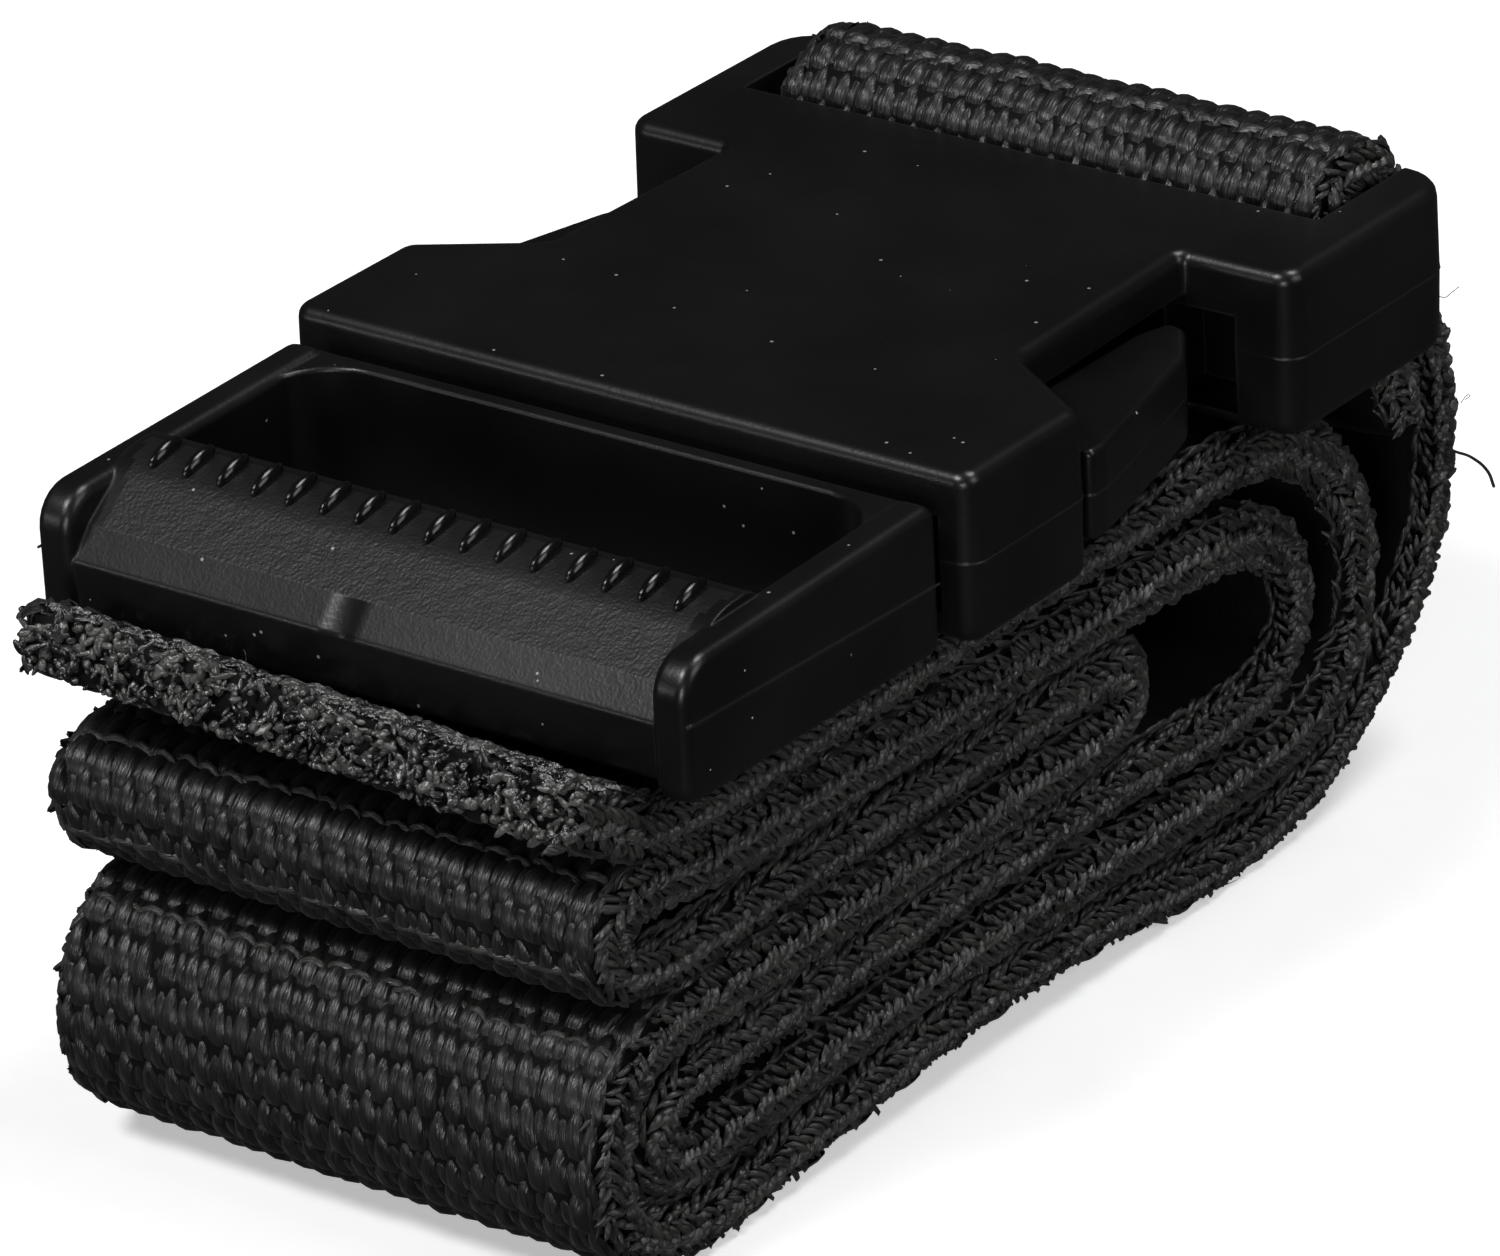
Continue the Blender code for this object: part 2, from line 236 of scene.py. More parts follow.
# %% Black acetal
DUST_SCALE, DUST_SIZE, DUST_SHARE = 640.0, 0.085, 0.16


def acetal(name, grain_height, roughness):
    material, shader, start = new_finish(name)
    place = start.node("ShaderNodeTexCoord", output=3)
    fine = start.node("ShaderNodeTexNoise", inputs={"Vector": place, "Scale": 3600.0, "Detail": 2.0})
    coarse = start.node("ShaderNodeTexNoise", inputs={"Vector": place, "Scale": 900.0, "Detail": 3.0})
    patches = start.node("ShaderNodeTexNoise", inputs={"Vector": place, "Scale": 70.0, "Detail": 4.0})
    rounded_edge = start.node("ShaderNodeBevel", {"samples": 6}, {"Radius": 0.22 * MM})
    worn_edge = start.node("ShaderNodeBevel", {"samples": 6}, {"Radius": 0.6 * MM})
    true_normal = start.node("ShaderNodeNewGeometry", output=1)
    alike = start.node("ShaderNodeVectorMath", {"operation": "DOT_PRODUCT"},
                       {0: worn_edge, 1: true_normal}, 1)
    wear = ramp((1.0 - alike) * (0.4 + patches), (0.02, 0.0), (0.25, 1.0))
    cells = start.node("ShaderNodeTexVoronoi", inputs={"Vector": place, "Scale": DUST_SCALE}, output=0)
    pick = start.node("ShaderNodeTexWhiteNoise", {"noise_dimensions": "3D"},
                      {"Vector": start.node("ShaderNodeTexVoronoi",
                                            inputs={"Vector": place, "Scale": DUST_SCALE}, output=2)})
    dust = (DUST_SIZE - cells > 0.0) * (pick > 1.0 - DUST_SHARE)
    base = blend_colours(start, ramp(patches, (0.35, 0.0), (0.7, 1.0)),
                         (0.0022, 0.0022, 0.0022, 1), (0.0045, 0.0045, 0.0044, 1))
    base = blend_colours(start, wear * 0.5, base, (0.02, 0.02, 0.02, 1))
    base = blend_colours(start, dust * 0.8, base, (0.32, 0.32, 0.31, 1))
    feed(shader, "Base Color", base)
    feed(shader, "Roughness", roughness + 0.13 * patches + 0.08 * wear)
    height = fine * 0.45 + coarse * 0.55
    bump = start.node("ShaderNodeBump", inputs={"Strength": 1.0, "Distance": grain_height * MM,
                                                "Height": height, "Normal": rounded_edge})
    feed(shader, "Normal", bump)
    shader.inputs["IOR"].default_value = 1.48
    return material


SATIN_ACETAL = acetal("satin_black_acetal", 0.024, 0.26)
GRAINED_ACETAL = acetal("grained_black_acetal", 0.10, 0.40)
POLISHED_ACETAL = acetal("polished_black_acetal", 0.012, 0.10)
print("mouldings:", SATIN_ACETAL.name, GRAINED_ACETAL.name)

# %% [markdown]
# The floor is a sheet of pale paper on a light table, so a little light comes up through it and
# the shadows stay open. Its faint fibres keep it from looking like a hole in the picture.

# %% Pale paper
paper, paper_shader, start = new_finish("pale_paper")
fibres = start.node("ShaderNodeTexNoise", inputs={
    "Vector": start.node("ShaderNodeTexCoord", output=3), "Scale": 260.0, "Detail": 6.0})
feed(paper_shader, "Base Color", blend_colours(start, fibres, (0.86, 0.86, 0.86, 1), (0.92, 0.92, 0.92, 1)))
paper_shader.inputs["Roughness"].default_value = 0.9
paper_shader.inputs["Emission Color"].default_value = (1.0, 1.0, 1.0, 1.0)
paper_shader.inputs["Emission Strength"].default_value = 0.42
floor_mesh.materials.append(paper)

# %% [markdown]
# Each half of the buckle is made of slabs with rounded edges. Bevel could round a plain extrusion,
# but a moulding also leans in slightly on both sides of the line where the tool's halves met. So we
# lift an outline through a stack of levels, each one drawn a little inside the outline.

# %% Outlines with arcs, and slabs built from a stack of them
def rounded(corners, inset=0.0, steps=6):
    """The outline through corners (x, y, radius), counterclockwise, drawn inside itself by inset."""
    points = [Vector(corner[:2]) for corner in corners]
    moved, radii = [], []
    for index, (x, y, radius) in enumerate(corners):
        into = (points[index] - points[index - 1]).normalized()
        out = (points[(index + 1) % len(points)] - points[index]).normalized()
        inward = Vector((-into.y, into.x)) + Vector((-out.y, out.x))
        moved.append(points[index] + inward * (inset / (1.0 + into.dot(out))))
        turns_in = into.cross(out) < 0
        radii.append(max(0.02, radius + inset if turns_in else radius - inset))
    outline = []
    for index, here in enumerate(moved):
        back = (moved[index - 1] - here).normalized()
        ahead = (moved[(index + 1) % len(moved)] - here).normalized()
        half = back.angle(ahead) / 2
        reach = radii[index] / tan(half)
        centre = here + (back + ahead).normalized() * (radii[index] / sin(half))
        first, last = here + back * reach - centre, here + ahead * reach - centre
        begin = atan2(first.y, first.x)
        sweep = (atan2(last.y, last.x) - begin + pi) % (2 * pi) - pi
        outline += [centre + radii[index] * Vector((cos(begin + sweep * step / steps),
                                                    sin(begin + sweep * step / steps)))
                    for step in range(steps + 1)]
    return outline


def mirrored(half):
    """A whole outline from the corners of its right half, which runs from front to rear."""
    return half + [(-x, y, radius) for x, y, radius in reversed(half)]


def edge_levels(low, high, edge, line=None, draft=0.0, flash=0.0, steps=5):
    """Heights and insets up a moulded side: rounded, leaning out to the tool's line, and back in."""
    if not edge:
        return [(low, draft), (high, draft)]
    turn = [edge * (1 - cos(pi / 2 * i / steps)) for i in range(steps + 1)]
    fall = [edge * (1 - sin(pi / 2 * i / steps)) for i in range(steps + 1)]
    levels = [(low + rise, draft + inset) for rise, inset in zip(turn, fall)]
    if line is not None:
        levels += [(line - 0.12, 0.02), (line - 0.05, -flash), (line + 0.05, -flash), (line + 0.12, 0.02)]
    return levels + [(high - rise, draft + inset) for rise, inset in reversed(list(zip(turn, fall)))]


def stack(shape, corners, levels, side=False, steps=6):
    """A closed slab through the levels. With side the outline lies in y and z, and levels are x."""
    rings = [(height, rounded(corners, inset, steps)) for height, inset in levels]
    height, ring = rings[0]
    bottom = [shape.verts.new((height, *point) if side else (*point, height)) for point in ring]
    face = shape.faces.new(bottom)
    for height, ring in rings[1:]:
        face = bmesh.ops.extrude_discrete_faces(shape, faces=[face])["faces"][0]
        for vert, point in zip(face.verts, ring):
            vert.co = (height, *point) if side else (*point, height)
    # The first face went up with each extrusion, so the bottom is closed again here.
    shape.faces.new(bottom)


# %% [markdown]
# Now the belt. It is one strip of thick polypropylene webbing, and its shape in the picture is only
# how it is folded. So we draw the folded middle line once, from the free end to the sewn end, and
# make everything on the belt flat. Cloth simulation could fold it too, but webbing this stiff keeps
# the folds it was packed in, and a drawn line puts each fold exactly where the CAD strip has it.

# %% The belt's middle line, in the drawing's y and z
FREE_END = [(-38.7, -10.9), (-35.2, -12.7), (-31.4, -15.2), (-26, -16.3)]
TOP_RUN = [(-8, -16.7), (12, -16.8), (32, -16.9), (43, -17.1), (50, -18.6)]
OUTER_REAR_FOLD = [(55.2, -22.2), (58.4, -27.2), (59.2, -32.4), (57.6, -38.0), (53, -41.8)]
SIXTH_RUN = [(46, -42.9), (30, -42.7), (12, -42.2), (-8, -42.4), (-21, -43.1)]
INNER_FRONT_FOLD = [(-28.4, -43.2), (-31.9, -40.5), (-28.6, -37.8)]
FIFTH_RUN = [(-21, -37.3), (-8, -37.2), (12, -37.1), (30, -37.2), (41, -37.6)]
MIDDLE_REAR_FOLD = [(47.3, -36.5), (50.4, -32.4), (49.5, -27.3), (45.2, -23.8)]
SECOND_RUN = [(37, -22.5), (24, -22.2), (8, -22.1), (-10, -21.8), (-24, -21.2)]
UPPER_FRONT_FOLD = [(-31.2, -20.5), (-35.4, -22.0), (-34.6, -25.6), (-29.4, -27.1)]
THIRD_RUN = [(-20, -27.3), (-8, -27.3), (10, -27.3), (22, -27.3)]
INNER_REAR_FOLD = [(27.0, -27.9), (28.6, -29.8), (27.0, -31.7)]
FOURTH_RUN = [(22, -32.3), (10, -32.3), (-8, -32.1), (-21, -31.9)]
LOWER_FRONT_FOLD = [(-29.5, -32.1), (-34.4, -34.0), (-36.9, -38.4), (-36.8, -43.4), (-33.6, -47.2)]
FLOOR_RUN = [(-26.5, -48.9), (-12, -47.9), (4, -46.9), (14, -46.9), (26, -47.6), (37, -49.1), (46, -49.0)]
BACK = [(53.5, -47.3), (60.5, -43.2), (66.3, -38.0), (70.0, -31.6), (71.25, -24.6), (70.2, -18.2)]
BEHIND_BAR = [(67.5, -13.2), (65.0, -9.3), (64.4, -6.0)]
OVER_BAR = [(64.1, -2.5), (62.9, -0.6), (60.0, 0.6), (57.5, 0.4), (55.4, -1.2), (54.8, -3.6), (54.8, -9.8)]
TAIL = [(56.2, -13.2), (59.0, -14.2), (61.8, -14.9), (64.1, -17.3), (65.6, -20.3), (66.2, -23.0)]
ROUTE = (FREE_END + TOP_RUN + OUTER_REAR_FOLD + SIXTH_RUN + INNER_FRONT_FOLD + FIFTH_RUN
         + MIDDLE_REAR_FOLD + SECOND_RUN + UPPER_FRONT_FOLD + THIRD_RUN + INNER_REAR_FOLD
         + FOURTH_RUN + LOWER_FRONT_FOLD + FLOOR_RUN + BACK + BEHIND_BAR + OVER_BAR + TAIL)


def curve_through(points, step):
    """Points about step apart on a smooth curve through points."""
    points = np.array(points, float)
    ends = np.vstack([2 * points[0] - points[1], points, 2 * points[-1] - points[-2]])
    run = []
    for index in range(len(points) - 1):
        p0, p1, p2, p3 = ends[index:index + 4]
        k1 = np.linalg.norm(p1 - p0) ** 0.5
        k2 = k1 + np.linalg.norm(p2 - p1) ** 0.5
        k3 = k2 + np.linalg.norm(p3 - p2) ** 0.5
        count = max(2, round(np.linalg.norm(p2 - p1) / step))
        t = (k1 + (k2 - k1) * np.arange(count) / count)[:, None]
        a1 = p0 + (p1 - p0) * t / k1
        a2 = p1 + (p2 - p1) * (t - k1) / (k2 - k1)
        a3 = p2 + (p3 - p2) * (t - k2) / (k3 - k2)
        b1 = a1 + (a2 - a1) * t / k2
        b2 = a2 + (a3 - a2) * (t - k1) / (k3 - k1)
        run.append(b1 + (b2 - b1) * (t - k1) / (k2 - k1))
    return np.vstack(run + [points[-1:]])


line = curve_through(ROUTE, 0.5)
for _ in range(3):
    line[1:-1] = (line[:-2] + 2 * line[1:-1] + line[2:]) / 4
run_along = np.concatenate([[0.0], np.cumsum(np.linalg.norm(np.diff(line, axis=0), axis=1))])
heading = np.gradient(line, axis=0)
heading /= np.linalg.norm(heading, axis=1)[:, None]
BELT_LENGTH = run_along[-1]
print(f"the belt is {BELT_LENGTH:.0f} mm long as it is folded")

# %% [markdown]
# The belt was packed by hand, so its layers aren't stacked quite square. Each is shifted a little
# sideways, and the free end has a slight twist. A few values along the length, blended between, say
# how far. One function then bends any flat point (across, along, above) onto the folded line.

# %% From the flat belt to the folded one
SWAY = [(0, 0.0), (30, 0.0), (120, 0.2), (230, -0.3), (300, 0.3), (330, 0.0), (420, -0.2), (520, 0.2),
        (600, 0.0), (760, 0.3), (BELT_LENGTH, 0.0)]
TWIST = [(0, -0.045), (14, -0.03), (40, 0.0), (BELT_LENGTH, 0.0)]


def along_belt(pairs, run):
    places, amounts = zip(*pairs)
    return np.interp(run, places, amounts)


def fold(flat):
    """Points (across, along, above) of the flat belt, moved to the folded one in the drawing."""
    across, run, above = np.asarray(flat, float).T
    inside = np.clip(run, 0.0, BELT_LENGTH)
    y, z = (np.interp(inside, run_along, line[:, i]) for i in (0, 1))
    ty, tz = (np.interp(inside, run_along, heading[:, i]) for i in (0, 1))
    size = np.hypot(ty, tz)
    ty, tz = ty / size, tz / size
    past = run - inside
    x = across + along_belt(SWAY, inside)
    z_twist = across * along_belt(TWIST, inside)
    return np.column_stack([x, y + ty * past - tz * above, z + tz * past + ty * above + z_twist])


def run_near(y, z):
    """How far along the belt its middle line passes nearest to a point."""
    return run_along[np.argmin(np.hypot(line[:, 0] - y, line[:, 1] - z))]


# %% [markdown]
# The strip itself is a flat tube with rounded edges. A plain grid bends into it: one way it goes
# round the cross-section, the other way along the belt. It is the dark body that the raised yarns
# sit in, with painted shade in its colour. A curve with a bevel profile would also do, but it can't
# carry the belt's own coordinates, which the weave and its fibres follow round every fold.

# %% The webbing's body
HALF_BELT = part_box("belt")[1].x / MM
BELT_THICK = 5.0
YARN_RISE = 0.42
BODY_HALF = BELT_THICK / 2 - YARN_RISE
BODY_EDGE = HALF_BELT - 0.6


def round_the_body(part):
    """The (across, above) point at a part, from 0 to 1, of the way round the rounded section."""
    flat = BODY_EDGE - BODY_HALF
    bend = np.linspace(pi / 2, -pi / 2, 9)
    right = np.column_stack([flat + BODY_HALF * np.cos(bend), BODY_HALF * np.sin(bend)])
    ring = np.vstack([right, -right, right[:1]])
    reach = np.concatenate([[0.0], np.cumsum(np.linalg.norm(np.diff(ring, axis=0), axis=1))])
    return [np.interp(part * reach[-1], reach, ring[:, i]) for i in (0, 1)]


def as_folded(name, flat, faces, uvs):
    """A smooth mesh from flat points, folded, in the part's frame and with the weave's coordinates."""
    mesh = bpy.data.meshes.new(name)
    mesh.from_pydata((fold(flat) * MM + np.array([0.0, MOUTH, TOP])).tolist(), [], faces.tolist())
    layer = mesh.uv_layers.new(name="weave")
    layer.data.foreach_set("uv", uvs[faces.ravel()].astype(np.float32).ravel())
    mesh.polygons.foreach_set("use_smooth", np.ones(len(faces), bool))
    return mesh


def place_piece(name, mesh, body, slot, finish, *replaced):
    piece = bpy.data.objects.new(name, mesh)
    bpy.context.scene.collection.objects.link(piece)
    mesh.materials.clear()
    mesh.materials.append(finish)
    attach(piece, body)
    if replaced:
        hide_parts(*replaced)
    return piece


def bent_tube(name, around=40, run_from=0.0, run_to=BELT_LENGTH, step=1.0):
    """The body between two places along the belt."""
    shape = bmesh.new()
    rows = round((run_to - run_from) / step)
    bmesh.ops.create_grid(shape, x_segments=around, y_segments=rows, size=0.5)
    grid = np.array([vert.co[:] for vert in shape.verts])[:, :2] + 0.5
    across, above = round_the_body(1.0 - grid[:, 0])
    run = run_from + grid[:, 1] * (run_to - run_from)
    folded = fold(np.column_stack([across, run, above])) * MM + np.array([0.0, MOUTH, TOP])
    layer = shape.loops.layers.uv.new("weave")
    for face in shape.faces:
        for loop in face.loops:
            part, place = loop.vert.co.x + 0.5, run[loop.vert.index]
            loop[layer].uv = (part * 11.2, place * 0.1)
    for vert, point in zip(shape.verts, folded):
        vert.co = point
    bmesh.ops.remove_doubles(shape, verts=shape.verts, dist=0.01 * MM)
    bmesh.ops.holes_fill(shape, edges=[edge for edge in shape.edges if edge.is_boundary], sides=0)
    bmesh.ops.recalc_face_normals(shape, faces=shape.faces)
    mesh = bpy.data.meshes.new(name)
    shape.to_mesh(mesh)
    shape.free()
    mesh.shade_smooth()
    return mesh


# %% [markdown]
# Polypropylene yarn is a bundle of fine shiny filaments. From a hand's breadth away we don't see the
# filaments, but we see that each yarn is streaky and glints along its length. The streaks are noise
# on the weave's own coordinates, squeezed across the yarn and drawn out along it. The raised yarns
# get this finish. The sunken body gets a darker, duller copy of it with painted shade: its colour is
# made darker to stand in for the shadow it lies in between the yarns.

# %% Black polypropylene yarn
def yarn(name, dark, light, streak_height, roughness, shine):
    material, shader, start = new_finish(name)
    weave = start.node("ShaderNodeUVMap", {"uv_map": "weave"})
    stretched = start.node("ShaderNodeMapping", inputs={"Vector": weave, "Scale": (9.0, 0.9, 1.0)})
    streaks = start.node("ShaderNodeTexNoise", inputs={"Vector": stretched, "Scale": 5.0, "Detail": 3.0})
    place = start.node("ShaderNodeTexCoord", output=3)
    patches = start.node("ShaderNodeTexNoise", inputs={"Vector": place, "Scale": 300.0, "Detail": 2.0})
    mix = ramp(streaks * 0.75 + patches * 0.35, (0.42, 0.0), (0.72, 1.0))
    feed(shader, "Base Color", blend_colours(start, mix, dark, light))
    feed(shader, "Roughness", roughness + 0.22 * streaks)
    bump = start.node("ShaderNodeBump", inputs={"Strength": 1.0, "Distance": streak_height * MM,
                                                "Height": streaks})
    feed(shader, "Normal", bump)
    shader.inputs["Specular IOR Level"].default_value = shine
    shader.inputs["Sheen Weight"].default_value = 0.03
    shader.inputs["Sheen Roughness"].default_value = 0.4
    return material


YARN = yarn("black_yarn", (0.002, 0.0019, 0.0018, 1), (0.0115, 0.011, 0.0103, 1), 0.18, 0.24, 0.6)
# A darker, duller copy of the yarn for the sunken body: painted shade, the shadow between the yarns put into
# its colour.
YARN_PAINTED_SHADE = yarn("black_yarn_painted_shade", (0.001, 0.001, 0.001, 1), (0.003, 0.003, 0.003, 1),
                     0.09, 0.6, 0.1)
THREAD = yarn("black_thread", (0.002, 0.002, 0.002, 1), (0.034, 0.0325, 0.030, 1), 0.12, 0.24, 0.75)
# The body takes the darker copy of the yarn, so the shade between the raised yarns is painted into its
# colour.
belt_body = place_piece("belt_body", bent_tube("belt_body"), "socket", "webbing", YARN_PAINTED_SHADE, "belt")
print("belt body:", len(belt_body.data.polygons), "faces")

# %% [markdown]
# Needle-loomed webbing shows columns of short leaf-shaped floats: each warp yarn comes up, lies over
# a few weft turns and dives again, wide where it rises and narrow where it goes under. One leaf is
# modelled from a small grid. Then it is repeated on the flat belt like a chessboard, raised and
# sunken in turn, and folded with it. The rows are counted out on the outside of each fold, where the
# webbing stretches. Real yarns are never even, so each one gets a slightly different size.

# %% One float, and a way to lay many of them
random = np.random.default_rng(11)


def leaf(stations, across=4, bend=0.0):
    """A leaf of unit length and width. Each station is (place along, half width, height)."""
    shape = bmesh.new()
    bmesh.ops.create_grid(shape, x_segments=across, y_segments=len(stations) - 1, size=0.5)
    for vert in shape.verts:
        place, half, height = stations[round((vert.co.y + 0.5) * (len(stations) - 1))]
        side = 2 * vert.co.x
        vert.co = (half * sin(side * pi / 2) + bend * (1 - 4 * place * place), place,
                   height * (1 - side * side) ** 0.5 - 0.22 * abs(side))
    verts = np.array([vert.co[:] for vert in shape.verts])
    faces = np.array([[vert.index for vert in face.verts] for face in shape.faces])
    shape.free()
    return verts, faces


FLOAT = leaf([(-0.52, 0.09, -0.35), (-0.42, 0.17, 0.30), (-0.22, 0.32, 0.85), (0.06, 0.47, 1.0),
              (0.30, 0.50, 0.80), (0.46, 0.42, 0.30), (0.54, 0.28, -0.35)])
STRAND = leaf([(-0.5, 0.20, -0.5), (-0.3, 0.44, 0.60), (0.0, 0.5, 1.0), (0.3, 0.44, 0.60),
               (0.5, 0.20, -0.5)], across=3, bend=0.55)


def lay(name, shape, origins, along, across, out):
    """Copies of a leaf on the flat belt: where each one is, and its three directions with their sizes."""
    verts, faces = shape
    count = len(origins)
    flat = (origins[:, None, :] + verts[None, :, 1:2] * along[:, None, :]
            + verts[None, :, 0:1] * across[:, None, :] + verts[None, :, 2:3] * out[:, None, :])
    offsets = random.uniform(0, 40, (count, 1, 2))
    uvs = np.stack([verts[:, 0] * 0.22, verts[:, 1] * 0.35], axis=1)[None] + offsets
    index = (np.arange(count) * len(verts))[:, None, None] + faces[None]
    return as_folded(name, flat.reshape(-1, 3), index.reshape(-1, 4), uvs.reshape(-1, 2))


COLUMNS = 23
COLUMN = (2 * HALF_BELT - 1.6) / COLUMNS
FLOAT_STEP = 3.1


def weave(name, run_from, run_to, side):
    """The yarns of one face, side 1 or -1, between two places along it. Every second one lies lower."""
    runs = np.arange(run_from, run_to, 0.25)
    surface = fold(np.column_stack([0 * runs, runs, 0 * runs + side * BODY_HALF]))
    reach = np.concatenate([[0.0], np.cumsum(np.linalg.norm(np.diff(surface, axis=0), axis=1))])
    columns, rows = np.arange(2 * COLUMNS - 1), np.arange(reach[-1] // FLOAT_STEP)
    column, row = (grid.ravel() for grid in np.meshgrid(columns, rows))
    count = len(column)
    sunk = np.where((column + row) % 2 == 0, 0.0, 0.30)
    x = (column / 2 + 0.5 - COLUMNS / 2) * COLUMN + random.normal(0, 0.07, count)
    run = np.interp((row + 0.5) * FLOAT_STEP + random.normal(0, 0.14, count), reach, runs)
    stretch = np.clip(np.interp(run, runs, np.gradient(reach, runs)), 0.6, 3.0)
    origins = np.column_stack([x, run, side * (BODY_HALF - sunk + random.normal(0, 0.04, count))])
    length = (random.normal(3.75, 0.14, count) - 0.8 * sunk) / stretch
    lean = random.normal(0.06, 0.07, count)
    width = random.normal(1.85, 0.10, count) - 1.6 * sunk
    along = np.column_stack([length * lean, length, np.zeros(count)])
    across = np.column_stack([width, np.zeros(count), random.normal(0, 0.12, count)])
    out = np.column_stack([np.zeros(count), np.zeros(count), side * random.normal(0.48, 0.04, count)])
    return lay(name, FLOAT, origins, along, across, out)


upper_from, upper_to = run_near(6, -22.1), run_near(6, -27.3)
lower_from = run_near(6, -32.2)
floor_run = run_near(14, -46.9)
back_run = run_near(68.0, -35.0)
raised = [
    ("floats_free_end", 1.0, 48.0, 1),
    ("floats_under_free_end", 1.0, 16.0, -1),
    ("floats_upper_fold", upper_from, upper_to, -1),
    ("floats_lower_fold", lower_from, floor_run, -1),
    ("floats_floor_run", floor_run, back_run, -1),
    ("floats_back_and_bar", back_run, BELT_LENGTH - 12.0, -1),
]
for name, run_from, run_to, side in raised:
    mesh = weave(name, run_from, run_to, side)
    place_piece(name, mesh, "socket", "webbing", YARN)
    print(name, len(mesh.polygons) * 2, "triangles")

# %% [markdown]
# The edge of needle-loomed webbing is its own little pattern. The weft turns back there in slanted
# loops of two strands, and a catch thread locks them in a chain at each corner. The folded layers
# show this edge seven times, so it matters more than the broad faces. It is the same trick again: a
# small bent strand, laid many times on the flat edge in rows that slant against each other.

# %% The knitted edges
EDGE_ROWS = [(1.45, 42), (0.5, -38), (-0.5, 40), (-1.45, -42)]
EDGE_PITCH = 1.3
CHAIN_PITCH = 2.6


def strands(side, above, slant, pitch, start, long, wide, rise):
    """One row of strands on the flat edge: origins, and three directions with their sizes."""
    run = np.arange(start, BELT_LENGTH - 0.5, pitch)
    count = len(run)
    angle = np.radians(slant + random.normal(0, 9, count))
    height = np.clip(above + random.normal(0, 0.12, count), -2.2, 2.2)
    inside = BODY_HALF - np.sqrt(np.maximum(0.0, BODY_HALF ** 2 - np.minimum(abs(height), 1.95) ** 2))
    origins = np.column_stack([side * (BODY_EDGE - inside + random.normal(0.16, 0.09, count)),
                               run + random.normal(0, 0.14, count), height])
    length, width = random.normal(long, 0.22, count), random.normal(wide, 0.05, count)
    turn = height / BODY_HALF * 0.75
    dip = random.normal(0, 0.22, count)
    along = np.column_stack([side * dip * length, length * np.cos(angle), length * np.sin(angle)])
    across = np.column_stack([np.zeros(count), -width * np.sin(angle), width * np.cos(angle)])
    out = np.column_stack([side * rise * np.cos(turn), np.zeros(count), rise * np.sin(turn)])
    return origins, along, across, out


def edge(name, side):
    """Slanted two-strand weft loops and the chains of the catch thread, left or right."""
    rows = []
    for index, (above, slant) in enumerate(EDGE_ROWS):
        for strand in (0, 1):
            rows.append(strands(side, above + 0.22 * strand, slant, EDGE_PITCH,
                                0.33 * index + 0.42 * strand, 2.05, 0.52, 0.55))
    for above in (-2.15, 2.15):
        for strand, slant in ((0, 12), (1, -14)):
            rows.append(strands(side, above, slant, CHAIN_PITCH, 1.3 * strand, 3.0, 0.62, 0.6))
    return lay(name, STRAND, *[np.vstack(parts) for parts in zip(*rows)])


for name, side in (("edge_left", -1), ("edge_right", 1)):
    mesh = edge(name, side)
    place_piece(name, mesh, "socket", "webbing", THREAD)
    print(name, len(mesh.polygons) * 2, "triangles")

# %% [markdown]
# Where the folded webbing bends hardest, the weft shows between the leaves as rows of little arcs.
# They lie across the belt, on the outside of the two front folds and over the bar.

# %% Weft arcs at the folds
def weft_arcs(name, runs, side):
    """Rows of strands across the belt at some places along it."""
    columns = (np.arange(COLUMNS + 1) - COLUMNS / 2) * COLUMN
    x, run = (grid.ravel() for grid in np.meshgrid(columns[1:-1], runs))
    count = len(x)
    origins = np.column_stack([x + random.normal(0, 0.1, count), run + random.normal(0, 0.10, count),
                               side * (BODY_HALF + random.normal(0.16, 0.05, count))])
    length = random.normal(2.5, 0.15, count)
    along = np.column_stack([length, random.normal(0.0, 0.25, count), np.zeros(count)])
    across = np.column_stack([np.zeros(count), random.normal(-0.5, 0.05, count), np.zeros(count)])
    out = np.column_stack([np.zeros(count), np.zeros(count), side * random.normal(0.42, 0.04, count)])
    return lay(name, STRAND, origins, along, across, out)


bar_run = run_near(60.0, 0.6)
fold_runs = [run_near(-34.0, -21.2), run_near(-35.4, -24.6), run_near(-33.8, -33.7), bar_run + 1.5]
mesh = weft_arcs("weft_arcs", fold_runs, -1)
place_piece("weft_arcs", mesh, "socket", "webbing", THREAD)
print("weft arcs:", len(mesh.polygons) * 2, "triangles")

# %% [markdown]
# The belt was cut with a hot knife, so its free end is a ridge of melted, glossy beads with tufts
# of singed yarn. A lumpy noise on the body would look like stone. Many small beads of uneven
# sizes, some drawn out into drips, look like plastic that ran and set.

# %% The melted free end
def melted_plastic():
    material, shader, start = new_finish("melted_polypropylene")
    place = start.node("ShaderNodeTexCoord", output=3)
    lumps = start.node("ShaderNodeTexNoise", inputs={"Vector": place, "Scale": 1900.0, "Detail": 4.0})
    patches = start.node("ShaderNodeTexNoise", inputs={"Vector": place, "Scale": 350.0, "Detail": 2.0})
    feed(shader, "Base Color", blend_colours(start, ramp(patches, (0.4, 0.0), (0.7, 1.0)),
                                             (0.003, 0.003, 0.003, 1), (0.075, 0.073, 0.07, 1)))
    feed(shader, "Roughness", 0.08 + 0.2 * patches)
    feed(shader, "Normal", start.node("ShaderNodeBump", inputs={
        "Strength": 1.0, "Distance": 0.25 * MM, "Height": lumps}))
    shader.inputs["Specular IOR Level"].default_value = 1.0
    return material


def bead():
    """A round bead of unit size, all of four-sided faces."""
    shape = bmesh.new()
    bmesh.ops.create_cube(shape, size=0.8)
    bmesh.ops.subdivide_edges(shape, edges=shape.edges, cuts=2, smooth=1.0, use_grid_fill=True)
    for vert in shape.verts:
        vert.co = 0.5 * vert.co.normalized()
    verts = np.array([vert.co[:] for vert in shape.verts])
    faces = np.array([[vert.index for vert in face.verts] for face in shape.faces])
    shape.free()
    return verts, faces


